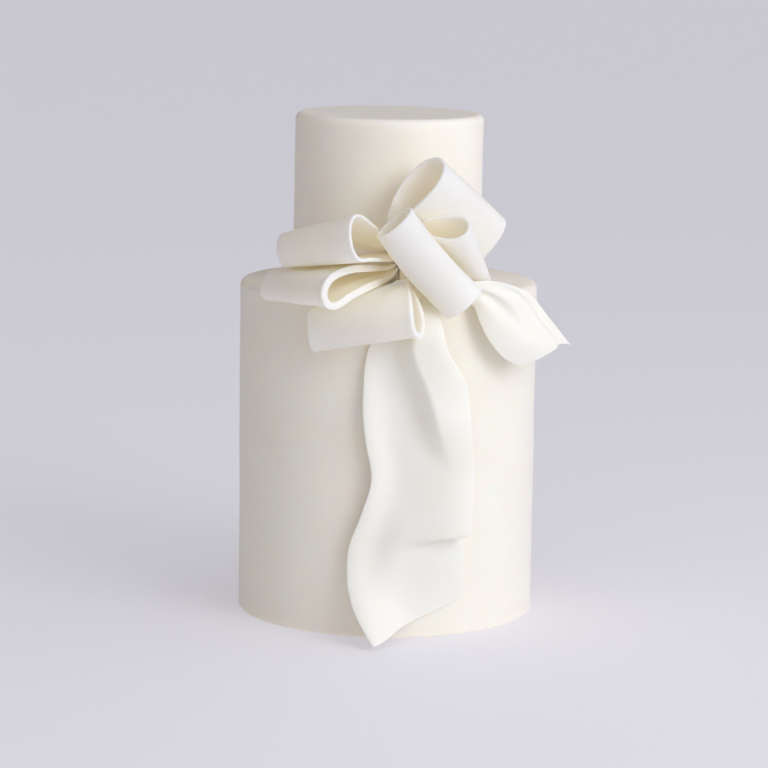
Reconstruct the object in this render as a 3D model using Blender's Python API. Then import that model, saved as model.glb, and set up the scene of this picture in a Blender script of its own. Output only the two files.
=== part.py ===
"""Two-tier wedding cake with a draped sugar-paste bow, as closed solids.

Metres, +Z up, origin at the centre of the cake's underside. The front faces -Y.
The two tiers are solid. The bow is eight strips of rolled paste, each a solid of its own.
"""
import math

import bmesh
import bpy
import numpy as np

MM = 0.001

# Tiers, in millimetres. The top tier leans TOP_LEAN to the right at its top, which rises
# TOP_TILT for each millimetre to the right and to the back.
BOTTOM_RADIUS = 90.5
BOTTOM_HEIGHT = 202.2
TOP_RADIUS = 57.0
TOP_HEIGHT = 100.7
TOP_SHIFT_X = -1.6
TOP_LEAN = 1.1
TOP_TILT = (-0.0045, 0.0185)
RIM_BOTTOM = 4.6
RIM_TOP = 4.2
RIM_STEPS = 4
TIER_SIDES = 64
GAP = 0.3

# Paste strips, in millimetres. A loop's two sheets stay PINCH_GAP apart where they are pressed
# together, and GATHERS waves of GATHER_RELIEF run out of the pinch, whose rows are
# GATHERED_LENGTH as long.
# The roll's back half is ROLL_BACK as deep as its front. A tail's middle hangs LAID off the wall,
# and the short tail's end is cut back by HOLLOW.
PASTE = 1.9
PINCH_GAP = 0.7
GATHER_RELIEF = 0.5
GATHERS = 2.5
GATHERED_LENGTH = 0.6
ROLL_BACK = 0.9
LAID = 1.8
HOLLOW = 4.0
SHARP_DEGREES = 50.0

# Facets along and across a strip
LOOP_STEPS = (34, 8)
ROLL_STEPS = (32, 8)
LONG_TAIL_STEPS = (52, 12)
SHORT_TAIL_STEPS = (30, 12)

# Loops of ribbon. pinch is where the two ends are pressed together, near and far are the two
# ends of the fold line, length runs from pinch to fold, turn swings the loop about its fold
# line in degrees, mouth is how far it stands open at its near and far rim, bend bows it,
# fullness moves its belly toward the fold, on the near rim of the first sheet and elsewhere,
# neck is the pinched share of the width and spread is the share of the length over which the
# gathers let go, at its near and far rim.
LOOPS = {
    "loop_upper_left": dict(
        pinch=(4.8, -63.4, 225.0), near=(-21.5, -132.8, 241.0), far=(-64.6, -86.0, 229.0),
        length=28.4, turn=10.4, mouth=(25.8, 18.3), bend=2.5,
        fullness=(1.0, 2.3), neck=0.11, spread=(0.66, 0.66),
    ),
    "loop_mid_left": dict(
        pinch=(2.6, -75.0, 218.5), near=(-34.4, -129.0, 203.4), far=(-73.4, -76.7, 200.5),
        length=49.4, turn=27.1, mouth=(16.8, 14.0), bend=0.7,
        fullness=(0.8, 2.4), neck=0.11, spread=(0.82, 0.82),
    ),
    "loop_lower_left": dict(
        pinch=(8.0, -96.0, 213.2), near=(19.6, -115.0, 183.8), far=(-41.7, -91.2, 170.8),
        length=44.0, turn=20.0, mouth=(17.0, 12.0), bend=-2.4,
        fullness=(3.0, 3.6), neck=0.11, spread=(0.85, 0.54),
    ),
    "loop_upper_right": dict(
        pinch=(1.0, -67.5, 233.6), near=(26.5, -78.0, 282.0), far=(65.2, -42.6, 244.3),
        length=54.1, turn=15.3, mouth=(26.7, 18.3), bend=-3.5,
        fullness=(1.1, 1.1), neck=0.14, spread=(0.40, 0.40),
    ),
    "loop_inner_right": dict(
        pinch=(24.0, -70.0, 223.0), near=(45.0, -106.5, 243.4), far=(59.0, -72.0, 208.2),
        length=49.7, turn=3.2, mouth=(17.1, 10.6), bend=0.9,
        fullness=(2.6, 2.6), neck=0.12, spread=(0.45, 0.8),
    ),
}

# How much thicker than the paste two of the near rims are at their folds, in millimetres
RIM_PASTE = {"loop_mid_left": 2.5, "loop_lower_left": 1.6}

# The rolled loop at the front of the bow, a closed band round a slanting axis
ROLL = dict(upper=(2.7, -113.7, 247.8), lower=(43.8, -98.9, 200.2), across=24.2, deep=17.5, bow=2.0)

# Tails. A station gives the left edge and the right edge as angle round the cake in degrees
# from the front, height in millimetres, and distance out from the wall in millimetres.
LONG_TAIL = (
    ((10.0, 207.0, -5.0), (19.6, 207.8, -5.0)),
    ((7.5, 200.0, 2.8), (16.5, 202.0, 2.2)),
    ((-6.1, 175.0, 2.2), (18.3, 174.5, 2.4)),
    ((-8.3, 145.0, LAID), (25.3, 152.0, LAID)),
    ((-7.2, 119.5, LAID), (27.2, 126.5, LAID)),
    ((-5.0, 97.0, LAID), (29.4, 101.5, LAID)),
    ((-8.2, 76.0, LAID), (28.8, 80.0, LAID)),
    ((-12.4, 56.0, LAID), (28.2, 64.0, LAID)),
    ((-12.8, 40.0, LAID), (30.2, 50.0, LAID)),
    ((-10.6, 24.5, LAID), (30.6, 38.0, LAID)),
    ((-2.9, 2.6, LAID), (28.9, 23.0, LAID)),
)
SHORT_TAIL = (
    ((23.0, 204.0, 3.0), (26.0, 210.0, 2.6)),
    ((29.7, 198.4, 5.0), (35.9, 211.0, 6.4)),
    ((31.9, 188.5, 7.0), (44.8, 207.5, 11.0)),
    ((34.9, 177.5, 9.0), (51.8, 200.8, 16.0)),
    ((40.2, 166.5, 12.0), (56.8, 187.8, 22.0)),
    ((46.9, 160.2, 15.0), (65.4, 169.6, 28.5)),
)

# Folds in the tails. line is where the crest lies across the tail at its start and at its
# end (0 is the left edge, 1 the right one), spread is its half width to the left and right,
# height is how far it lifts, and rise and fall say where along the tail it grows and dies.
# crease sharpens its crest below 2, lag draws out its fall away from the crest, and sag is how
# far it hangs down for each millimetre that it lifts.
LONG_TAIL_FOLDS = (
    dict(line=(0.0, 0.0), spread=(0.30, 0.18), height=6.3, rise=(0.16, 0.38), fall=(1.2, 1.3)),
    dict(line=(0.58, 0.84), spread=(0.12, 1.2), height=13.0, rise=(0.08, 0.19), fall=(0.34, 0.50), crease=1.8),
    dict(line=(1.0, 1.0), spread=(0.30, 0.30), height=4.5, rise=(0.08, 0.18), fall=(0.26, 0.36)),
    dict(line=(1.0, 1.0), spread=(0.46, 0.30), height=12.5, rise=(0.26, 0.52), fall=(0.675, 0.71), lag=0.08, sag=0.35),
    dict(line=(0.42, 0.10), spread=(0.15, 0.16), height=2.0, rise=(0.56, 0.72), fall=(0.84, 1.00)),
    dict(line=(0.0, 0.0), spread=(0.30, 0.32), height=8.0, rise=(0.74, 0.98), fall=(1.2, 1.3)),
    dict(line=(0.0, 0.0), spread=(0.30, 0.18), height=17.0, rise=(0.87, 1.02), fall=(1.2, 1.3)),
)
SHORT_TAIL_FOLDS = (
    dict(line=(0.25, 0.35), spread=(0.30, 0.24), height=5.0, rise=(0.05, 0.25), fall=(0.60, 1.20)),
    dict(line=(0.66, 0.46), spread=(0.09, 0.35), height=4.0, rise=(-0.04, 0.14), fall=(0.30, 0.80), crease=1.5),
    dict(line=(0.82, 0.42), spread=(0.36, 0.10), height=5.0, rise=(0.10, 0.45), fall=(0.85, 1.25)),
)

# Materials: linear base colour and roughness
COVERING = ((0.84, 0.81, 0.74), 0.62)
BOW_PASTE = ((0.87, 0.86, 0.81), 0.58)


def ease(x):
    """Smooth step from 0 to 1."""
    x = np.clip(x, 0.0, 1.0)
    return x * x * (3.0 - 2.0 * x)


def unit(vector):
    """The vector at length 1."""
    return vector / np.linalg.norm(vector)


def smooth_curve(points, count):
    """Catmull-Rom curve through the points, as count evenly spread samples."""
    points = np.asarray(points, dtype=float)
    padded = np.vstack([2 * points[0] - points[1], points, 2 * points[-1] - points[-2]])
    place = np.linspace(0.0, len(points) - 1.0, count)
    first = np.minimum(place.astype(int), len(points) - 2)
    t = (place - first)[:, None]
    a, b, c, d = (padded[first + k] for k in range(4))
    cubic = (3 * b - 3 * c + d - a) * t**3
    square = (2 * a - 5 * b + 4 * c - d) * t**2
    return 0.5 * (2 * b + (c - a) * t + square + cubic)


def loop_sheet(pinch, near, far, length, turn, mouth, bend, fullness, neck, spread, steps):
    """Middle surface of a ribbon loop: rows run from end to end, columns from far to near rim."""
    along, across = steps
    pinch, near, far = (np.array(point) for point in (pinch, near, far))
    fold_middle = (near + far) / 2
    half_width = (near - far) / 2
    wide = unit(half_width)
    away = fold_middle - pinch
    away = unit(away - np.dot(away, wide) * wide)
    swing = math.radians(turn)
    out = math.cos(swing) * away + math.sin(swing) * np.cross(wide, away)
    normal = np.cross(wide, out)
    start = fold_middle - length * out

    t = np.linspace(0.0, 2 * math.pi, along + 1)
    share = (1 - np.cos(t)) / 2
    side = np.sign(math.pi - t)
    side[along // 2] = 0.0

    sheet = np.zeros((along + 1, across + 1, 3))
    for column, v in enumerate(np.linspace(-1.0, 1.0, across + 1)):
        released = ease(2 * share / (spread[0] + spread[1] + v * (spread[0] - spread[1])))
        pinched = 1 - released
        gathers = 4 * GATHER_RELIEF * released * pinched
        open_half = (mouth[0] + mouth[1] + v * (mouth[0] - mouth[1])) / 4
        full = fullness[1] + (fullness[0] - fullness[1]) * np.where(t < math.pi, (1 + v) / 2, 0.0)
        peak = 2 * ((1 + full) / (2 + full)) ** ((1 + full) / 2) / np.sqrt(2 + full)
        belly = np.sin(t) * np.abs(np.sin(t / 2)) ** full / peak
        apart = np.hypot(open_half * belly, (PASTE + PINCH_GAP) / 2 * np.cos(t / 2))
        lift = side * apart + bend * share**2 + gathers * math.cos(GATHERS * math.pi * v)
        flat = start + np.outer(share * length, out) + v * half_width
        gathered = pinch + np.outer(share * length * GATHERED_LENGTH, out) + v * half_width * neck
        sheet[:, column] = released[:, None] * flat + pinched[:, None] * gathered
        sheet[:, column] += lift[:, None] * normal
    return sheet


def roll_sheet(upper, lower, across, deep, bow, steps):
    """Middle surface of the closed roll: rows go round it, columns from the upper to the lower end."""
    around, along = steps
    upper, lower = np.array(upper), np.array(lower)
    axis = unit(lower - upper)
    front = np.array([0.0, -1.0, 0.0])
    front = unit(front - np.dot(front, axis) * axis)
    side = np.cross(axis, front)
    t = np.linspace(0.0, 2 * math.pi, around, endpoint=False)
    flattened = np.where(np.cos(t) < 0, ROLL_BACK, 1.0)
    section = np.outer(np.cos(t) * flattened * deep / 2, front) + np.outer(np.sin(t) * across / 2, side)
    sheet = np.zeros((around, along + 1, 3))
    for column, v in enumerate(np.linspace(-1.0, 1.0, along + 1)):
        centre = (upper + lower) / 2 + (lower - upper) / 2 * v + bow * (1 - v * v) * side
        sheet[:, column] = centre + section
    return sheet


def fold_height(s, v, line, spread, height, rise, fall, crease=2.0, lag=0.0, sag=0.0):
    """How far one fold lifts the tail and lets it hang down, at s along it and v across it."""
    reach = np.clip((s - rise[0]) / (fall[1] - rise[0]), 0.0, 1.0)
    crest = line[0] + (line[1] - line[0]) * reach**2
    half = np.where(v < crest, spread[0], spread[1])
    grown = ease((s - rise[0]) / (rise[1] - rise[0]))
    dying = ease((s - fall[0]) / (fall[1] - fall[0] + lag * np.abs(v - crest)))
    lift = height * np.exp(-(np.abs((v - crest) / half) ** crease)) * grown * (1 - dying)
    return np.array([lift, sag * lift])


def tail_sheet(stations, folds, steps, hollow=0.0):
    """Middle surface of a tail: rows go down it, columns from its left to its right edge."""
    along, across = steps
    left = smooth_curve([station[0] for station in stations], along + 1)
    right = smooth_curve([station[1] for station in stations], along + 1)
    s = np.linspace(0.0, 1.0, along + 1)
    sheet = np.zeros((along + 1, across + 1, 3))
    for column, v in enumerate(np.linspace(0.0, 1.0, across + 1)):
        angle, height, distance = (left + (right - left) * v).T
        angle = np.radians(angle)
        lift, drop = sum(fold_height(s, v, **fold) for fold in folds)
        radius = BOTTOM_RADIUS + distance + lift
        height = height - drop + hollow * 6.75 * v**2 * (1 - v) * ease((s - 0.6) / 0.4)
        sheet[:, column] = np.stack([radius * np.sin(angle), -radius * np.cos(angle), height], axis=1)
    return sheet


def make_material(name, colour, roughness):
    """Principled material in one colour."""
    material = bpy.data.materials.new(name)
    material.use_nodes = True
    shader = material.node_tree.nodes["Principled BSDF"]
    shader.inputs["Base Color"].default_value = (*colour, 1.0)
    shader.inputs["Roughness"].default_value = roughness
    shader.inputs["Metallic"].default_value = 0.0
    return material


def add_object(name, mesh, finish):
    """Link a mesh as a named object with its own material."""
    mesh.materials.append(make_material(name, *finish))
    item = bpy.data.objects.new(name, mesh)
    bpy.context.scene.collection.objects.link(item)
    mesh.shade_smooth()
    mesh.set_sharp_from_angle(angle=math.radians(SHARP_DEGREES))
    return item


def strip_solid(name, sheet, closed=False, rim_paste=0.0):
    """A sheet given the paste's thickness, and rim_paste more at its near rim, as one closed solid."""
    rows, columns = sheet.shape[:2]
    bm = bmesh.new()
    corners = [[bm.verts.new(point * MM) for point in row] for row in sheet]
    for row in range(rows if closed else rows - 1):
        following = (row + 1) % rows
        for column in range(columns - 1):
            bm.faces.new(
                (
                    corners[row][column],
                    corners[following][column],
                    corners[following][column + 1],
                    corners[row][column + 1],
                )
            )
    bm.normal_update()
    mesh = bpy.data.meshes.new(name)
    bm.to_mesh(mesh)
    bm.free()
    item = add_object(name, mesh, BOW_PASTE)
    rim = item.vertex_groups.new(name="near rim")
    for row in range(rows):
        thick = float(ease(2 * math.sin(math.pi * row / (rows - 1)) ** 2))
        rim.add([(row + 1) * columns - 1], thick, "REPLACE")
    paste = item.modifiers.new("paste thickness", "SOLIDIFY")
    paste.thickness = (PASTE + rim_paste) * MM
    paste.offset = 0.0
    paste.use_even_offset = False
    paste.vertex_group = rim.name
    paste.thickness_vertex_group = PASTE / (PASTE + rim_paste)
    split = item.modifiers.new("facets", "TRIANGULATE")
    split.min_vertices = 4
    return item


def tier(name, radius, height, rim, base_height=0.0, shift_x=0.0, lean=0.0, tilt=(0.0, 0.0)):
    """One covered tier: a round block with a rounded top rim, as plumb and level as it was set."""
    bm = bmesh.new()
    bmesh.ops.create_cone(
        bm,
        cap_ends=True,
        segments=TIER_SIDES,
        radius1=radius * MM,
        radius2=radius * MM,
        depth=height * MM,
    )
    bmesh.ops.translate(bm, verts=bm.verts, vec=(0.0, 0.0, height / 2 * MM))
    top_edges = [edge for edge in bm.edges if all(vert.co.z > height / 2 * MM for vert in edge.verts)]
    bmesh.ops.bevel(
        bm,
        geom=top_edges,
        offset=rim * MM,
        offset_type="OFFSET",
        segments=RIM_STEPS,
        profile=0.5,
        affect="EDGES",
    )
    for vert in bm.verts:
        if vert.co.z > height / 2 * MM:
            vert.co.z += tilt[0] * vert.co.x + tilt[1] * vert.co.y
        vert.co.x += lean * vert.co.z / height
    mesh = bpy.data.meshes.new(name)
    bm.to_mesh(mesh)
    bm.free()
    item = add_object(name, mesh, COVERING)
    item.location = (shift_x * MM, 0.0, base_height * MM)
    return item


def clear_scene():
    """Remove every object of the open file."""
    for item in list(bpy.data.objects):
        bpy.data.objects.remove(item, do_unlink=True)


def main():
    """Build the cake and its bow."""
    clear_scene()
    tier("tier_bottom", BOTTOM_RADIUS, BOTTOM_HEIGHT, RIM_BOTTOM)
    tier(
        "tier_top", TOP_RADIUS, TOP_HEIGHT, RIM_TOP, BOTTOM_HEIGHT + GAP, TOP_SHIFT_X, TOP_LEAN, TOP_TILT
    )
    for name, sizes in LOOPS.items():
        rim_paste = RIM_PASTE.get(name, 0.0)
        strip_solid(name, loop_sheet(**sizes, steps=LOOP_STEPS), rim_paste=rim_paste)
    strip_solid("loop_front", roll_sheet(**ROLL, steps=ROLL_STEPS), closed=True)
    strip_solid("tail_long", tail_sheet(LONG_TAIL, LONG_TAIL_FOLDS, LONG_TAIL_STEPS))
    strip_solid("tail_right", tail_sheet(SHORT_TAIL, SHORT_TAIL_FOLDS, SHORT_TAIL_STEPS, HOLLOW))


main()
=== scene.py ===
"""Looks of a two-tier wedding cake with a draped sugar-paste bow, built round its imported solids.

Blender works in metres. The classes hold their sizes in millimetres, in the frame of the solids:
the origin is the centre of the cake's underside, the front faces -Y and +Z is up.
"""
import logging
import math
from dataclasses import dataclass, field, replace
from enum import Enum

import bpy
import numpy as np
from mathutils import Matrix

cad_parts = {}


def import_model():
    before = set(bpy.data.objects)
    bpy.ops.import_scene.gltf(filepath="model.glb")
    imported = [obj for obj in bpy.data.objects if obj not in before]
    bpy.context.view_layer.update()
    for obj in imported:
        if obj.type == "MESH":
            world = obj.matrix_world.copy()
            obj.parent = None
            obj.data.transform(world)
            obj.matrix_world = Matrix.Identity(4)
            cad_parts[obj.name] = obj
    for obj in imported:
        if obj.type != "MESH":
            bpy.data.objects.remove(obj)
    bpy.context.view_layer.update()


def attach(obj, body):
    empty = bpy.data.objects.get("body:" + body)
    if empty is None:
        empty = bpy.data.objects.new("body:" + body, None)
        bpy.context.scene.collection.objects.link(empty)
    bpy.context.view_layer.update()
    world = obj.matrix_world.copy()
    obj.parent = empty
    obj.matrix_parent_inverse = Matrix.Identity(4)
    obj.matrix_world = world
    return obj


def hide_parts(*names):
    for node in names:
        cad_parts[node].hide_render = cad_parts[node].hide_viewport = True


MM = 0.001
BODY = "root"

# Sizes that the strips of the bow share, in millimetres
PASTE = 1.9
PINCH_GAP = 0.7
GATHER_RELIEF = 0.5
WALL_RADIUS = 90.5
LAID = 1.8

# Shapes of the strips, as shares and counts
GATHERS = 2.5
GATHERED_LENGTH = 0.6
ROLL_BACK = 0.9
NEAR_EDGE_START = 0.80
NEAR_EDGE_WIDTH = 0.18
HOLLOW_START = 0.6
HOLLOW_TO_FULL = 6.75
FINE_ALONG = 801
FINE_ACROSS = 161

# Shapes of the tiers, as shares, counts and degrees
UNDERSIDE_RINGS = (0.5, 0.9)
FOOT_ANGLES = (0.0, 30.0, 60.0, 90.0)
WALL_RINGS = 48
RIM_RINGS = 12
TOP_RINGS = 16
INNERMOST_RING = 0.04
DIP_LEVEL = 1.5
EVEN_FOOT = 4

# Light goes round many times inside white folds
LIGHT_BOUNCES = 20
DIFFUSE_BOUNCES = 16

log = logging.getLogger("cake")

Point = tuple[float, float, float]
Pair = tuple[float, float]


class Slot(Enum):
    """Names of the record's material slots; no piece here is given one."""

    COVERING = "cake_covering"
    BOW = "bow_paste"


def linear(hex_colour: str) -> tuple[float, float, float, float]:
    """Turn an sRGB hex colour into linear values.

    Args:
        hex_colour: The colour as "#rrggbb".

    Returns:
        Red, green, blue and alpha, linear, from 0 to 1.
    """
    channels = [int(hex_colour[k : k + 2], 16) / 255 for k in (1, 3, 5)]
    # The standard sRGB curve
    values = [c / 12.92 if c <= 0.04045 else ((c + 0.055) / 1.055) ** 2.4 for c in channels]
    return (*values, 1.0)


def ease(x: np.ndarray) -> np.ndarray:
    """Smooth step from 0 to 1."""
    x = np.clip(x, 0.0, 1.0)
    return x * x * (3.0 - 2.0 * x)


def unit(vector: np.ndarray) -> np.ndarray:
    """The vector, or each vector along the last axis, at length 1."""
    return vector / np.linalg.norm(vector, axis=-1, keepdims=True)


def lengths_along(line: np.ndarray) -> np.ndarray:
    """How far along the line each of its points is."""
    return np.concatenate([[0.0], np.cumsum(np.linalg.norm(np.diff(line, axis=0), axis=1))])


def smooth_curve(points: np.ndarray, place: np.ndarray) -> np.ndarray:
    """Read a Catmull-Rom curve through the points.

    Args:
        points: One row for each point that the curve passes through.
        place: Where to read it, from 0 at the first point to 1 at the last.

    Returns:
        The curve at each place, with the columns of the points.
    """
    padded = np.vstack([2 * points[0] - points[1], points, 2 * points[-1] - points[-2]])
    place = place * (len(points) - 1.0)
    first = np.clip(place.astype(int), 0, len(points) - 2)
    t = (place - first)[..., None]
    a, b, c, d = (padded[first + k] for k in range(4))
    cubic = (3 * b - 3 * c + d - a) * t**3
    square = (2 * a - 5 * b + 4 * c - d) * t**2
    return 0.5 * (2 * b + (c - a) * t + square + cubic)


@dataclass(frozen=True)
class Unevenness:
    """Slow waves that a rolling pin and a hand leave in sugar paste.

    Each wave is between the two shares in spread times as long as length, in millimetres.
    """

    depth: float
    length: float
    seed: int
    waves: int = 9
    spread: Pair = (0.7, 1.6)

    def at(self, points: np.ndarray) -> np.ndarray:
        """Read the waves.

        Args:
            points: Points in millimetres, one for each value along the last axis.

        Returns:
            The height at each point in millimetres, about depth up or down.
        """
        draw = np.random.default_rng(self.seed)
        total = np.zeros(points.shape[:-1])
        for _ in range(self.waves):
            direction = unit(draw.normal(size=3))
            turns = 2 * math.pi / (self.length * draw.uniform(*self.spread))
            total += np.sin(points @ direction * turns + draw.uniform(0.0, 2 * math.pi))
        return self.depth * total / math.sqrt(self.waves)


def add_node(
    tree: bpy.types.NodeTree,
    kind: str,
    settings: dict | None = None,
    links: dict | None = None,
) -> bpy.types.Node:
    """Add a shader node with its settings and links.

    Args:
        tree: The node tree that gets the node.
        kind: Blender's name of the node type.
        settings: Values by socket name, or by attribute name where no socket has it.
        links: Output sockets by the name of the input socket that they feed.

    Returns:
        The new node.
    """
    node = tree.nodes.new(kind)
    for name, value in (settings or {}).items():
        if name in node.inputs:
            node.inputs[name].default_value = value
        else:
            setattr(node, name, value)
    for name, source in (links or {}).items():
        tree.links.new(source, node.inputs[name])
    return node


@dataclass(frozen=True)
class SugarPaste:
    """Sugar paste: icing sugar, glucose and gum, rolled out, smoothed by hand and left to dry.

    It is a white to ivory solid that lets light some millimetres in, so that its folds glow
    warm, with a satin skin from the starch that it was rolled out on. glow is the share of the
    light that goes in, and glow_depth how far its red, green and blue reach. grain and cloud are
    the sizes of the fine and of the slow pattern, and grain_depth is how far the fine one stands
    up, all in millimetres. The slow one runs from deep_colour to colour over tint_range.
    """

    name: str
    colour: str
    deep_colour: str
    roughness: float
    glow: float
    glow_depth: tuple[float, float, float]
    grain: float
    grain_depth: float
    cloud: float
    ior: float = 1.46
    tint_range: Pair = (0.3, 0.7)
    satin_spread: float = 0.05
    cloud_detail: float = 3.0
    cloud_breakup: float = 0.55
    grain_detail: float = 4.0
    grain_breakup: float = 0.6
    grain_strength: float = 0.5

    def material(self) -> bpy.types.Material:
        """Make the node material.

        Returns:
            The material, named for its paste.
        """
        material = bpy.data.materials.new(self.name)
        material.use_nodes = True
        tree = material.node_tree
        shader = tree.nodes["Principled BSDF"]
        shader.inputs["IOR"].default_value = self.ior
        shader.inputs["Metallic"].default_value = 0.0
        shader.inputs["Subsurface Weight"].default_value = self.glow
        shader.inputs["Subsurface Radius"].default_value = self.glow_depth
        shader.inputs["Subsurface Scale"].default_value = MM
        place = add_node(tree, "ShaderNodeTexCoord").outputs["Object"]
        clouds = add_node(
            tree,
            "ShaderNodeTexNoise",
            {
                "Scale": 1 / (self.cloud * MM),
                "Detail": self.cloud_detail,
                "Roughness": self.cloud_breakup,
            },
            {"Vector": place},
        )
        tint = add_node(tree, "ShaderNodeValToRGB", links={"Fac": clouds.outputs["Fac"]})
        colours = (self.deep_colour, self.colour)
        for stop, position, colour in zip(tint.color_ramp.elements, self.tint_range, colours):
            stop.position = position
            stop.color = linear(colour)
        tree.links.new(tint.outputs["Color"], shader.inputs["Base Color"])
        satin = add_node(
            tree,
            "ShaderNodeMapRange",
            {
                "To Min": self.roughness - self.satin_spread,
                "To Max": self.roughness + self.satin_spread,
            },
            {"Value": clouds.outputs["Fac"]},
        )
        tree.links.new(satin.outputs["Result"], shader.inputs["Roughness"])
        # The starch is finer than a pixel, so its grain is drawn at about one millimetre
        grain = add_node(
            tree,
            "ShaderNodeTexNoise",
            {
                "Scale": 1 / (self.grain * MM),
                "Detail": self.grain_detail,
                "Roughness": self.grain_breakup,
            },
            {"Vector": place},
        )
        bump = add_node(
            tree,
            "ShaderNodeBump",
            {"Strength": self.grain_strength, "Distance": self.grain_depth * MM},
            {"Height": grain.outputs["Fac"]},
        )
        tree.links.new(bump.outputs["Normal"], shader.inputs["Normal"])
        return material


# Draped over the cake and smoothed with a flat paddle: even ivory with a soft, dull satin
COVERING_PASTE = SugarPaste(
    name="ivory_sugar_paste_covering",
    colour="#fcf3e7",
    deep_colour="#faf0e3",
    roughness=0.58,
    glow=1.0,
    glow_depth=(3.0, 2.4, 1.7),
    grain=1.1,
    grain_depth=0.03,
    cloud=38.0,
)
# Rolled thin and dried over a form: whiter and tighter, with warm light inside the loops
BOW_PASTE = SugarPaste(
    name="off_white_modelling_paste",
    colour="#fefbed",
    deep_colour="#fef9e8",
    roughness=0.52,
    glow=1.0,
    glow_depth=(6.8, 6.2, 5.3),
    grain=0.9,
    grain_depth=0.02,
    cloud=24.0,
)
# The tails lie on the wall or hang close to it, so hardly any light comes through from behind.
# Their colour is the bow paste's, painted darker and greyer: painted shade, not a different paste
TAIL_PASTE_WITH_PAINTED_SHADE = replace(
    BOW_PASTE,
    name="off_white_modelling_paste_laid_painted_shade",
    colour="#f2f2ea",
    deep_colour="#f0efe6",
    glow_depth=(1.8, 1.7, 1.5),
)


def new_object(
    name: str,
    points: np.ndarray,
    faces: list[list[int]],
    material: bpy.types.Material,
) -> bpy.types.Object:
    """Link a smooth-shaded mesh object.

    Args:
        name: The object's name.
        points: Its vertices in millimetres, one row each.
        faces: Its faces as vertex numbers.
        material: Its material.

    Returns:
        The new object, with its place in its mesh.
    """
    mesh = bpy.data.meshes.new(name)
    mesh.from_pydata((points * MM).tolist(), [], faces)
    mesh.validate()
    mesh.update()
    mesh.materials.append(material)
    mesh.shade_smooth()
    item = bpy.data.objects.new(name, mesh)
    bpy.context.scene.collection.objects.link(item)
    return item


def dress(piece: bpy.types.Object, node: str) -> None:
    """Let a piece stand for its solid, ride on the cake and report itself.

    Args:
        piece: The finished piece.
        node: The name of the solid that it stands for.
    """
    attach(piece, BODY)
    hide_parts(node)
    log.info("%s stands for %s with %d faces", piece.name, node, len(piece.data.polygons))


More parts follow.
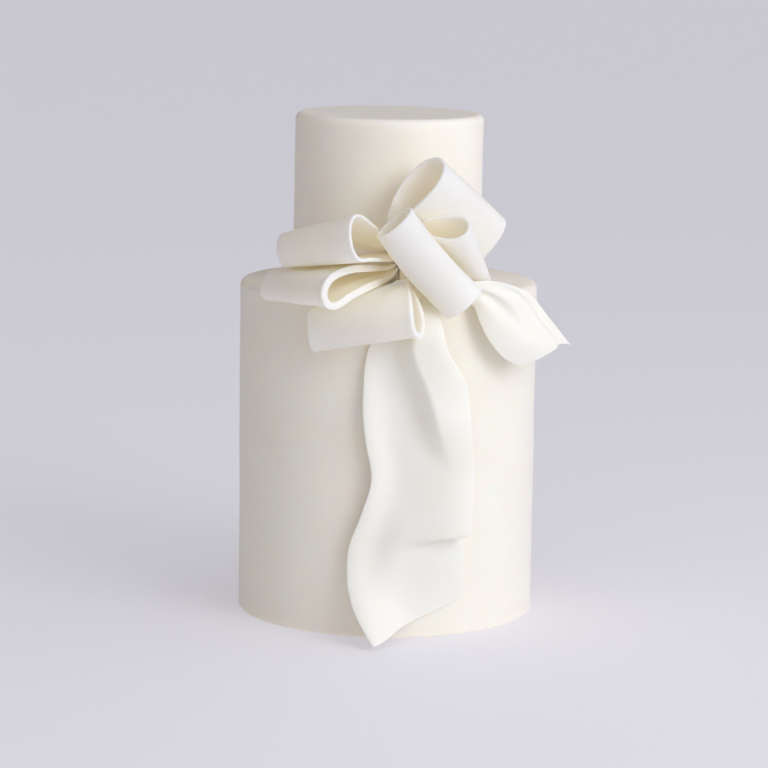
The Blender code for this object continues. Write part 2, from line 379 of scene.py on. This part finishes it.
@dataclass(kw_only=True)
class PasteStrip:
    """A strip of rolled paste.

    Its middle surface is given by s from 0 to 1 along it and v from -1 to 1 across. near_paste is
    how much thicker the paste is along the edge at v = 1, edge is how far in from an edge the
    paste rounds off, in edge_steps, and a closed strip is a band without ends.
    """

    node: str
    paste: float = PASTE
    near_paste: float = 0.0
    edge: float = 0.85
    edge_power: float = 0.62
    edge_steps: int = 5
    rows: int = 130
    columns: int = 46
    closed: bool = False
    waves: Unevenness = Unevenness(depth=0.10, length=24.0, seed=3)

    def middle(self, s: np.ndarray, v: np.ndarray) -> np.ndarray:
        """The middle surface at s and v, in millimetres."""
        raise NotImplementedError

    def normal(self, s: np.ndarray, v: np.ndarray) -> np.ndarray:
        """Work out which way the middle surface faces.

        Args:
            s: Places along the strip.
            v: Places across it.

        Returns:
            Unit vectors square to the surface.
        """
        step = 1e-3
        along = self.middle(s + step, v) - self.middle(s - step, v)
        across = self.middle(s, v + step) - self.middle(s, v - step)
        return unit(np.cross(along, across))

    def edge_places(
        self, length: float, count: int, ends: bool = True
    ) -> tuple[np.ndarray, np.ndarray]:
        """Spread places over a length, closer where the paste rounds off at its ends.

        Args:
            length: The length to cover, in millimetres.
            count: How many places lie between the two rounded ends.
            ends: Whether the ends are rounded.

        Returns:
            The places in millimetres, and the share of the full thickness at each.
        """
        if not ends:
            return np.linspace(0.0, length, count + 1)[:-1], np.ones(count)
        turn = np.linspace(0.0, math.pi / 2, self.edge_steps + 1)
        edge = min(self.edge, length / 4)
        rounding = edge * (1 - np.cos(turn) ** self.edge_power)
        thin = np.sin(turn) ** self.edge_power
        inner = np.linspace(edge, length - edge, count + 1)[1:-1]
        places = np.concatenate([rounding, inner, length - rounding[::-1]])
        return places, np.concatenate([thin, np.ones(len(inner)), thin[::-1]])

    def grid(self) -> tuple[np.ndarray, np.ndarray, np.ndarray]:
        """Lay the mesh's rows and columns over the strip.

        Returns:
            s, v and the thickness in millimetres, each as rows along the strip by columns across.
        """
        fine = np.linspace(0.0, 1.0, FINE_ALONG)
        spine = self.middle(fine, np.zeros_like(fine))
        run = lengths_along(spine)
        places, row_share = self.edge_places(run[-1], self.rows, ends=not self.closed)
        s_rows = np.interp(places, run, fine)
        sweep = np.linspace(-1.0, 1.0, FINE_ACROSS)
        s_all, v_all, share_all = [], [], []
        for s, share in zip(s_rows, row_share):
            line = self.middle(np.full_like(sweep, s), sweep)
            width = lengths_along(line)
            columns, column_share = self.edge_places(width[-1], self.columns)
            v_row = np.interp(columns, width, sweep)
            s_all.append(np.full_like(v_row, s))
            v_all.append(v_row)
            share_all.append(column_share * share)
        s, v = np.array(s_all), np.array(v_all)
        near_edge = ease((v - NEAR_EDGE_START) / NEAR_EDGE_WIDTH)
        away_from_ends = ease(2 * np.sin(math.pi * s) ** 2)
        paste = self.paste + self.near_paste * near_edge * away_from_ends
        return s, v, np.array(share_all) * paste

    def build(self, material: bpy.types.Material) -> bpy.types.Object:
        """Build the strip's mesh.

        Args:
            material: The paste's material.

        Returns:
            The strip as one closed mesh.
        """
        s, v, thickness = self.grid()
        middle, normal = self.middle(s, v), self.normal(s, v)
        middle = middle + self.waves.at(middle)[..., None] * normal
        front = middle + normal * thickness[..., None] / 2
        back = middle - normal * thickness[..., None] / 2
        rows, columns = s.shape
        front_ids = np.arange(rows * columns).reshape(rows, columns)
        shared = np.zeros((rows, columns), dtype=bool)
        shared[:, [0, -1]] = True
        if not self.closed:
            shared[[0, -1], :] = True
        back_ids = front_ids.copy()
        back_ids[~shared] = rows * columns + np.arange((~shared).sum())
        points = np.vstack([front.reshape(-1, 3), back[~shared]])
        faces = []
        for row in range(rows if self.closed else rows - 1):
            after = (row + 1) % rows
            for column in range(columns - 1):
                a, b = (row, column), (after, column)
                c, d = (after, column + 1), (row, column + 1)
                faces.append([int(front_ids[k]) for k in (a, b, c, d)])
                faces.append([int(back_ids[k]) for k in (d, c, b, a)])
        piece = new_object(f"bow_{self.node}", points, faces, material)
        dress(piece, self.node)
        return piece


@dataclass(kw_only=True)
class RibbonLoop(PasteStrip):
    """A loop of ribbon, folded over a fold line and pressed together at its two ends.

    pinch is where the ends meet, near and far are the two ends of the fold line, length runs
    from pinch to fold, turn swings the loop about its fold line in degrees, mouth is how far it
    stands open at its near and far rim, bend bows it, fullness moves its belly toward the fold,
    on the near rim of the first sheet and elsewhere, neck is the pinched share of the width and
    spread how soon the gathers let go at its near and far rim.
    """

    pinch: Point
    near: Point
    far: Point
    length: float
    turn: float
    mouth: Pair
    bend: float
    fullness: Pair
    neck: float
    spread: Pair

    def __post_init__(self) -> None:
        """Work out the loop's own axes."""
        near, far = np.array(self.near), np.array(self.far)
        self.pinch_point = np.array(self.pinch)
        self.half_width = (near - far) / 2
        fold = (near + far) / 2
        wide = unit(self.half_width)
        away = fold - self.pinch_point
        away = unit(away - np.dot(away, wide) * wide)
        swing = math.radians(self.turn)
        self.out = math.cos(swing) * away + math.sin(swing) * np.cross(wide, away)
        self.lift_way = np.cross(wide, self.out)
        self.start = fold - self.length * self.out

    def middle(self, s: np.ndarray, v: np.ndarray) -> np.ndarray:
        """Fold the ribbon over its fold line and gather its two ends.

        Args:
            s: Places round the loop, from one pressed end over the fold to the other.
            v: Places across it, from its far to its near rim.

        Returns:
            The middle surface there, in millimetres.
        """
        t = 2 * math.pi * s
        share = (1 - np.cos(t)) / 2
        first, other = self.fullness
        full = other + (first - other) * np.where(t < math.pi, (1 + v) / 2, 0.0)
        # The greatest value that the belly would reach, so that it peaks at 1
        peak = 2 * ((1 + full) / (2 + full)) ** ((1 + full) / 2) / np.sqrt(2 + full)
        belly = np.sin(t) * np.abs(np.sin(t / 2)) ** full / peak
        near, far = self.spread
        released = ease(2 * share / (near + far + v * (near - far)))
        pinched = 1 - released
        near, far = self.mouth
        open_half = (near + far + v * (near - far)) / 4
        apart = np.hypot(open_half * belly, (PASTE + PINCH_GAP) / 2 * np.cos(t / 2))
        lift = np.sign(math.pi - t) * apart + self.bend * share**2
        # The gathers stand up most halfway between pressed and flat
        lift += 4 * GATHER_RELIEF * released * pinched * np.cos(GATHERS * math.pi * v)
        reach = (share * self.length)[..., None] * self.out
        wide = v[..., None] * self.half_width
        flat = self.start + reach + wide
        gathered = self.pinch_point + reach * GATHERED_LENGTH + wide * self.neck
        mixed = released[..., None] * flat + pinched[..., None] * gathered
        return mixed + lift[..., None] * self.lift_way


@dataclass(kw_only=True)
class RibbonRoll(PasteStrip):
    """The loop over the middle of the bow, rolled into a closed band round a slanting axis.

    upper and lower are the middles of its two ends, across and deep its width and depth, and bow
    is how far its middle swings out sideways.
    """

    upper: Point
    lower: Point
    across: float
    deep: float
    bow: float

    def middle(self, s: np.ndarray, v: np.ndarray) -> np.ndarray:
        """Roll the ribbon round the axis.

        Args:
            s: Places round the roll.
            v: Places along it, from its upper to its lower end.

        Returns:
            The middle surface there, in millimetres.
        """
        upper, lower = np.array(self.upper), np.array(self.lower)
        axis = unit(lower - upper)
        front = np.array([0.0, -1.0, 0.0])
        front = unit(front - np.dot(front, axis) * axis)
        side = np.cross(axis, front)
        t = 2 * math.pi * s
        depth = np.cos(t) * np.where(np.cos(t) < 0, ROLL_BACK, 1.0) * self.deep / 2
        section = depth[..., None] * front + (np.sin(t) * self.across / 2)[..., None] * side
        along = (upper + lower) / 2 + (lower - upper) / 2 * v[..., None]
        return along + self.bow * (1 - v * v)[..., None] * side + section


@dataclass(frozen=True)
class Fold:
    """A fold in a tail.

    line is where its crest lies across the tail at its start and at its end, from 0 at the left
    edge to 1 at the right one. spread is its half width to the left and right, height is how far
    it lifts, and rise and fall say where along the tail it grows and dies. crease sharpens its
    crest below 2, lag draws out its fall away from the crest, and sag is how far it hangs down
    for each millimetre that it lifts.
    """

    line: Pair
    spread: Pair
    height: float
    rise: Pair
    fall: Pair
    crease: float = 2.0
    lag: float = 0.0
    sag: float = 0.0

    def lift(self, s: np.ndarray, w: np.ndarray) -> np.ndarray:
        """Work out how far the fold lifts the tail.

        Args:
            s: Places along the tail.
            w: Places across it, from 0 at its left edge to 1 at its right one.

        Returns:
            The lift at each place, in millimetres.
        """
        reach = np.clip((s - self.rise[0]) / (self.fall[1] - self.rise[0]), 0.0, 1.0)
        crest = self.line[0] + (self.line[1] - self.line[0]) * reach**2
        half = np.where(w < crest, self.spread[0], self.spread[1])
        grown = ease((s - self.rise[0]) / (self.rise[1] - self.rise[0]))
        fading = self.fall[1] - self.fall[0] + self.lag * np.abs(w - crest)
        dying = ease((s - self.fall[0]) / fading)
        profile = np.exp(-(np.abs((w - crest) / half) ** self.crease))
        return self.height * profile * grown * (1 - dying)


@dataclass(kw_only=True)
class RibbonTail(PasteStrip):
    """A tail of ribbon that hangs round the wall of the lower tier.

    A station gives the left and the right edge as angle round the cake in degrees from the
    front, height, and distance out from the wall. hollow is how far the end is cut back.
    """

    stations: tuple[tuple[Point, Point], ...]
    folds: tuple[Fold, ...]
    hollow: float = 0.0

    def middle(self, s: np.ndarray, v: np.ndarray) -> np.ndarray:
        """Hang the tail round the wall and lift its folds.

        Args:
            s: Places down the tail.
            v: Places across it, from its left to its right edge.

        Returns:
            The middle surface there, in millimetres.
        """
        left = smooth_curve(np.array([station[0] for station in self.stations]), s)
        right = smooth_curve(np.array([station[1] for station in self.stations]), s)
        w = (v + 1) / 2
        place = left + (right - left) * w[..., None]
        angle, height, distance = np.radians(place[..., 0]), place[..., 1], place[..., 2]
        lifts = [fold.lift(s, w) for fold in self.folds]
        radius = WALL_RADIUS + distance + sum(lifts)
        height = height - sum(fold.sag * lift for fold, lift in zip(self.folds, lifts))
        # The hollow is deepest two thirds of the way across, where the cubic times this is 1
        hollow = self.hollow * HOLLOW_TO_FULL * w**2 * (1 - w)
        height = height + hollow * ease((s - HOLLOW_START) / (1 - HOLLOW_START))
        return np.stack([radius * np.sin(angle), -radius * np.cos(angle), height], axis=-1)


@dataclass(kw_only=True)
class Tier:
    """One round tier, covered all over in smoothed sugar paste.

    At its top the tier leans to the right by lean, and tilt is the rise of its top for each
    millimetre to the right and to the back. rim and foot are the radii that its upper and lower
    edges are rounded to.
    """

    node: str
    radius: float
    height: float
    rim: float
    foot: float = 0.8
    base_height: float = 0.0
    shift_x: float = 0.0
    lean: float = 0.0
    tilt: Pair = (0.0, 0.0)
    sides: int = 220
    waves: Unevenness = Unevenness(depth=0.12, length=55.0, seed=11)

    def outline(self) -> np.ndarray:
        """Draw the outline that is turned round the axis.

        Returns:
            Radius and height in millimetres, from the underside up the wall to the top.
        """
        under = [(self.radius * share, 0.0) for share in UNDERSIDE_RINGS]
        foot = [
            (self.radius - self.foot * (1 - math.sin(a)), self.foot * (1 - math.cos(a)))
            for a in np.radians(FOOT_ANGLES)
        ]
        wall = [
            (self.radius, self.foot + (self.height - self.rim - self.foot) * share)
            for share in np.linspace(0.0, 1.0, WALL_RINGS)[1:]
        ]
        rim = [
            (
                self.radius - self.rim * (1 - math.cos(a)),
                self.height - self.rim * (1 - math.sin(a)),
            )
            for a in np.radians(np.linspace(0.0, 90.0, RIM_RINGS)[1:])
        ]
        top = [
            ((self.radius - self.rim) * share, self.height)
            for share in np.linspace(1.0, INNERMOST_RING, TOP_RINGS)[1:]
        ]
        return np.array(under + foot + wall + rim + top)

    def build(self, material: bpy.types.Material) -> bpy.types.Object:
        """Turn the outline round the axis and give it the hand-smoothed unevenness.

        Args:
            material: The covering's material.

        Returns:
            The tier as one closed mesh.
        """
        outline = self.outline()
        angle = np.linspace(0.0, 2 * math.pi, self.sides, endpoint=False)
        ring = np.stack([np.cos(angle), np.sin(angle)], axis=1)
        points = np.zeros((len(outline), self.sides, 3))
        points[..., :2] = outline[:, None, :1] * ring
        points[..., 2] = outline[:, None, 1]
        # The waves only ever press in, and leave the foot and the underside even
        dip = self.waves.depth * DIP_LEVEL + self.waves.at(points)
        above = ease((points[..., 2] - self.foot) / (EVEN_FOOT * self.foot))
        inward = points - np.array([0.0, 0.0, self.height / 2])
        inward = unit(inward * np.array([1.0, 1.0, self.radius / self.height]))
        points -= inward * (np.clip(dip, 0.0, None) * above)[..., None]
        share = points[..., 2] / self.height
        points[..., 2] += share * (points[..., :2] @ np.array(self.tilt))
        points[..., 0] += share * self.lean
        points += np.array([self.shift_x, 0.0, self.base_height])
        count = len(outline)
        centres = np.array([[self.shift_x, 0.0, self.base_height], points[-1].mean(axis=0)])
        faces = []
        for k in range(self.sides):
            after = (k + 1) % self.sides
            for row in range(count - 1):
                low, high = row * self.sides, (row + 1) * self.sides
                faces.append([low + k, low + after, high + after, high + k])
            faces.append([count * self.sides, after, k])
            last = (count - 1) * self.sides
            faces.append([count * self.sides + 1, last + k, last + after])
        everything = np.vstack([points.reshape(-1, 3), centres])
        piece = new_object(f"covered_{self.node}", everything, faces, material)
        dress(piece, self.node)
        return piece


@dataclass
class Cake:
    """The two covered tiers, a hair apart."""

    gap: float = 0.3
    lower: Tier = field(
        default_factory=lambda: Tier(node="tier_bottom", radius=WALL_RADIUS, height=202.2, rim=4.6)
    )
    upper: Tier = field(
        default_factory=lambda: Tier(
            node="tier_top",
            radius=57.0,
            height=100.7,
            rim=4.2,
            shift_x=-1.6,
            lean=1.1,
            tilt=(-0.0045, 0.0185),
            waves=Unevenness(depth=0.10, length=45.0, seed=12),
        )
    )

    def build(self) -> None:
        """Build both tiers, the upper one on the lower."""
        covering = COVERING_PASTE.material()
        self.upper.base_height = self.lower.height + self.gap
        self.lower.build(covering)
        self.upper.build(covering)


def ribbon_loops() -> tuple[RibbonLoop, ...]:
    """Give the sizes of the five loops.

    Returns:
        Three loops to the left and two to the right.
    """
    return (
        RibbonLoop(
            node="loop_upper_left",
            pinch=(4.8, -63.4, 225.0),
            near=(-21.5, -132.8, 241.0),
            far=(-64.6, -86.0, 229.0),
            length=28.4,
            turn=10.4,
            mouth=(25.8, 18.3),
            bend=2.5,
            fullness=(1.0, 2.3),
            neck=0.11,
            spread=(0.66, 0.66),
        ),
        RibbonLoop(
            node="loop_mid_left",
            near_paste=2.5,
            pinch=(2.6, -75.0, 218.5),
            near=(-34.4, -129.0, 203.4),
            far=(-73.4, -76.7, 200.5),
            length=49.4,
            turn=27.1,
            mouth=(16.8, 14.0),
            bend=0.7,
            fullness=(0.8, 2.4),
            neck=0.11,
            spread=(0.82, 0.82),
        ),
        RibbonLoop(
            node="loop_lower_left",
            near_paste=1.6,
            pinch=(8.0, -96.0, 213.2),
            near=(19.6, -115.0, 183.8),
            far=(-41.7, -91.2, 170.8),
            length=44.0,
            turn=20.0,
            mouth=(17.0, 12.0),
            bend=-2.4,
            fullness=(3.0, 3.6),
            neck=0.11,
            spread=(0.85, 0.54),
        ),
        RibbonLoop(
            node="loop_upper_right",
            pinch=(1.0, -67.5, 233.6),
            near=(26.5, -78.0, 282.0),
            far=(65.2, -42.6, 244.3),
            length=54.1,
            turn=15.3,
            mouth=(26.7, 18.3),
            bend=-3.5,
            fullness=(1.1, 1.1),
            neck=0.14,
            spread=(0.40, 0.40),
        ),
        RibbonLoop(
            node="loop_inner_right",
            pinch=(24.0, -70.0, 223.0),
            near=(45.0, -106.5, 243.4),
            far=(59.0, -72.0, 208.2),
            length=49.7,
            turn=3.2,
            mouth=(17.1, 10.6),
            bend=0.9,
            fullness=(2.6, 2.6),
            neck=0.12,
            spread=(0.45, 0.8),
        ),
    )


def front_roll() -> RibbonRoll:
    """Give the sizes of the roll over the middle of the bow.

    Returns:
        The roll.
    """
    return RibbonRoll(
        node="loop_front",
        upper=(2.7, -113.7, 247.8),
        lower=(43.8, -98.9, 200.2),
        across=24.2,
        deep=17.5,
        bow=2.0,
        closed=True,
        rows=90,
    )


def ribbon_tails() -> tuple[RibbonTail, ...]:
    """Give the sizes of the two tails.

    Returns:
        The long tail down the front and the short one at the right.
    """
    return (
        RibbonTail(
            node="tail_long",
            rows=230,
            columns=70,
            stations=(
                ((10.0, 207.0, -5.0), (19.6, 207.8, -5.0)),
                ((7.5, 200.0, 2.8), (16.5, 202.0, 2.2)),
                ((-6.1, 175.0, 2.2), (18.3, 174.5, 2.4)),
                ((-8.3, 145.0, LAID), (25.3, 152.0, LAID)),
                ((-7.2, 119.5, LAID), (27.2, 126.5, LAID)),
                ((-5.0, 97.0, LAID), (29.4, 101.5, LAID)),
                ((-8.2, 76.0, LAID), (28.8, 80.0, LAID)),
                ((-12.4, 56.0, LAID), (28.2, 64.0, LAID)),
                ((-12.8, 40.0, LAID), (30.2, 50.0, LAID)),
                ((-10.6, 24.5, LAID), (30.6, 38.0, LAID)),
                ((-2.9, 2.6, LAID), (28.9, 23.0, LAID)),
            ),
            folds=(
                Fold(
                    line=(0.0, 0.0),
                    spread=(0.30, 0.18),
                    height=6.3,
                    rise=(0.16, 0.38),
                    fall=(1.2, 1.3),
                ),
                Fold(
                    line=(0.58, 0.84),
                    spread=(0.12, 1.2),
                    height=13.0,
                    rise=(0.08, 0.19),
                    fall=(0.34, 0.50),
                    crease=1.8,
                ),
                Fold(
                    line=(1.0, 1.0),
                    spread=(0.30, 0.30),
                    height=4.5,
                    rise=(0.08, 0.18),
                    fall=(0.26, 0.36),
                ),
                Fold(
                    line=(1.0, 1.0),
                    spread=(0.46, 0.30),
                    height=12.5,
                    rise=(0.26, 0.52),
                    fall=(0.675, 0.71),
                    lag=0.08,
                    sag=0.35,
                ),
                Fold(
                    line=(0.42, 0.10),
                    spread=(0.15, 0.16),
                    height=2.0,
                    rise=(0.56, 0.72),
                    fall=(0.84, 1.00),
                ),
                Fold(
                    line=(0.0, 0.0),
                    spread=(0.30, 0.32),
                    height=8.0,
                    rise=(0.74, 0.98),
                    fall=(1.2, 1.3),
                ),
                Fold(
                    line=(0.0, 0.0),
                    spread=(0.30, 0.18),
                    height=17.0,
                    rise=(0.87, 1.02),
                    fall=(1.2, 1.3),
                ),
            ),
        ),
        RibbonTail(
            node="tail_right",
            hollow=4.0,
            stations=(
                ((23.0, 204.0, 3.0), (26.0, 210.0, 2.6)),
                ((29.7, 198.4, 5.0), (35.9, 211.0, 6.4)),
                ((31.9, 188.5, 7.0), (44.8, 207.5, 11.0)),
                ((34.9, 177.5, 9.0), (51.8, 200.8, 16.0)),
                ((40.2, 166.5, 12.0), (56.8, 187.8, 22.0)),
                ((46.9, 160.2, 15.0), (65.4, 169.6, 28.5)),
            ),
            folds=(
                Fold(
                    line=(0.25, 0.35),
                    spread=(0.30, 0.24),
                    height=5.0,
                    rise=(0.05, 0.25),
                    fall=(0.60, 1.20),
                ),
                Fold(
                    line=(0.66, 0.46),
                    spread=(0.09, 0.35),
                    height=4.0,
                    rise=(-0.04, 0.14),
                    fall=(0.30, 0.80),
                    crease=1.5,
                ),
                Fold(
                    line=(0.82, 0.42),
                    spread=(0.36, 0.10),
                    height=5.0,
                    rise=(0.10, 0.45),
                    fall=(0.85, 1.25),
                ),
            ),
        ),
    )


@dataclass
class Bow:
    """The bow: five loops, a roll over the middle and two tails."""

    loops: tuple[RibbonLoop, ...] = field(default_factory=ribbon_loops)
    roll: RibbonRoll = field(default_factory=front_roll)
    tails: tuple[RibbonTail, ...] = field(default_factory=ribbon_tails)

    def build(self) -> None:
        """Build the loops and the roll, then the tails."""
        paste = BOW_PASTE.material()
        for strip in (*self.loops, self.roll):
            strip.build(paste)
        # The tails take the bow paste with painted shade in its colour
        laid_paste_with_painted_shade = TAIL_PASTE_WITH_PAINTED_SHADE.material()
        for tail in self.tails:
            tail.build(laid_paste_with_painted_shade)


@dataclass
class Studio:
    """A pale floor, one large soft light from the front right, and a pale room round it all.

    light_turn and light_rise are where the light hangs, in degrees to the right of the front and
    up, and light_aim is the height that it points at. The room goes from room_shade to
    room_colour over room_range, toward room_bright_way.
    """

    floor_colour: str = "#c9c5c2"
    floor_glow: str = "#8f929d"
    floor_glow_strength: float = 1.0
    floor_roughness: float = 0.8
    floor_size: float = 90000.0
    light_turn: float = 44.0
    light_rise: float = 23.0
    light_distance: float = 1750.0
    light_aim: float = 150.0
    light_size: float = 1000.0
    light_power: float = 11.9
    light_colour: str = "#f4f8ff"
    room_colour: str = "#e2e0e9"
    room_shade: str = "#7a705f"
    room_range: Pair = (0.0, 0.8)
    room_bright_way: Point = (0.45, -0.5, 0.74)
    room_strength: float = 1.0

    def build(self) -> None:
        """Put up the floor, the light and the room."""
        self.lay_floor()
        self.hang_light()
        self.paint_room()

    def lay_floor(self) -> None:
        """Lay a plain matt floor under the cake."""
        half = self.floor_size / 2
        ways = ((-1, -1), (1, -1), (1, 1), (-1, 1))
        corners = np.array([[x * half, y * half, 0.0] for x, y in ways])
        # Matt paint takes soft shadows and mirrors nothing
        material = bpy.data.materials.new("matt_painted_floor")
        material.use_nodes = True
        shader = material.node_tree.nodes["Principled BSDF"]
        shader.inputs["Base Color"].default_value = linear(self.floor_colour)
        shader.inputs["Roughness"].default_value = self.floor_roughness
        shader.inputs["Emission Color"].default_value = linear(self.floor_glow)
        shader.inputs["Emission Strength"].default_value = self.floor_glow_strength
        floor = new_object("floor", corners, [[0, 1, 2, 3]], material)

    def hang_light(self) -> None:
        """Hang the soft light, aimed at the middle of the cake."""
        turn, rise = math.radians(self.light_turn), math.radians(self.light_rise)
        level = math.cos(rise)
        back = np.array([math.sin(turn) * level, -math.cos(turn) * level, math.sin(rise)])
        aim = np.array([0.0, 0.0, self.light_aim])
        data = bpy.data.lights.new("softbox", "AREA")
        data.shape = "SQUARE"
        data.size = self.light_size * MM
        data.energy = self.light_power
        data.color = linear(self.light_colour)[:3]
        lamp = bpy.data.objects.new("softbox", data)
        lamp.matrix_world = facing((aim + back * self.light_distance) * MM, -back)
        bpy.context.scene.collection.objects.link(lamp)

    def paint_room(self) -> None:
        """Give the room round the cake its pale tone, brighter overhead and to the right."""
        world = bpy.data.worlds.new("room")
        world.use_nodes = True
        tree = world.node_tree
        way = add_node(tree, "ShaderNodeTexCoord").outputs["Generated"]
        toward = add_node(tree, "ShaderNodeVectorMath", {"operation": "DOT_PRODUCT"})
        toward.inputs[1].default_value = self.room_bright_way
        tree.links.new(way, toward.inputs[0])
        tone = add_node(tree, "ShaderNodeValToRGB", links={"Fac": toward.outputs["Value"]})
        colours = (self.room_shade, self.room_colour)
        for stop, position, colour in zip(tone.color_ramp.elements, self.room_range, colours):
            stop.position = position
            stop.color = linear(colour)
        background = tree.nodes["Background"]
        tree.links.new(tone.outputs["Color"], background.inputs["Color"])
        background.inputs["Strength"].default_value = self.room_strength
        bpy.context.scene.world = world


def facing(place: np.ndarray, forward: np.ndarray, roll: float = 0.0) -> Matrix:
    """Place something that looks along its own -Z.

    Args:
        place: Where it stands, in metres.
        forward: The way it looks.
        roll: How far it is turned about that way, in radians.

    Returns:
        Its world matrix.
    """
    forward = unit(np.asarray(forward, dtype=float))
    right = unit(np.cross(forward, [0.0, 0.0, 1.0]))
    up = np.cross(right, forward)
    rolled_right = math.cos(roll) * right + math.sin(roll) * up
    rolled_up = -math.sin(roll) * right + math.cos(roll) * up
    matrix = Matrix.Identity(4)
    for k in range(3):
        matrix[k][0] = rolled_right[k]
        matrix[k][1] = rolled_up[k]
        matrix[k][2] = -forward[k]
        matrix[k][3] = place[k]
    return matrix


@dataclass
class Viewpoint:
    """The camera, at the photograph's viewing angle.

    It stands in front of the cake at distance and height, looks down by pitch and to the right by
    yaw, and is turned by roll, all three in radians. lens and sensor are in millimetres, and
    farthest is how far it sees, in metres.
    """

    distance: float = 1660.0
    height: float = 401.6
    pitch: float = 0.1581
    yaw: float = -0.0012
    roll: float = 0.013
    lens: float = 128.43
    sensor: float = 36.0
    farthest: float = 50.0

    def build(self) -> None:
        """Set up the camera."""
        data = bpy.data.cameras.new("camera")
        data.lens = self.lens
        data.sensor_width = self.sensor
        data.clip_end = self.farthest
        camera = bpy.data.objects.new("camera", data)
        level = math.cos(self.pitch)
        forward = np.array(
            [math.sin(self.yaw) * level, math.cos(self.yaw) * level, -math.sin(self.pitch)]
        )
        place = np.array([0.0, -self.distance, self.height]) * MM
        camera.matrix_world = facing(place, forward, self.roll)
        bpy.context.scene.collection.objects.link(camera)
        bpy.context.scene.camera = camera


def main() -> None:
    """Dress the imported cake, light it and set up the camera."""
    logging.basicConfig(level=logging.INFO, format="%(name)s: %(message)s")
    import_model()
    Viewpoint().build()
    Studio().build()
    bpy.context.scene.view_settings.view_transform = "Standard"
    bpy.context.scene.cycles.max_bounces = LIGHT_BOUNCES
    bpy.context.scene.cycles.diffuse_bounces = DIFFUSE_BOUNCES
    Cake().build()
    Bow().build()


if __name__ == "__main__":
    main()
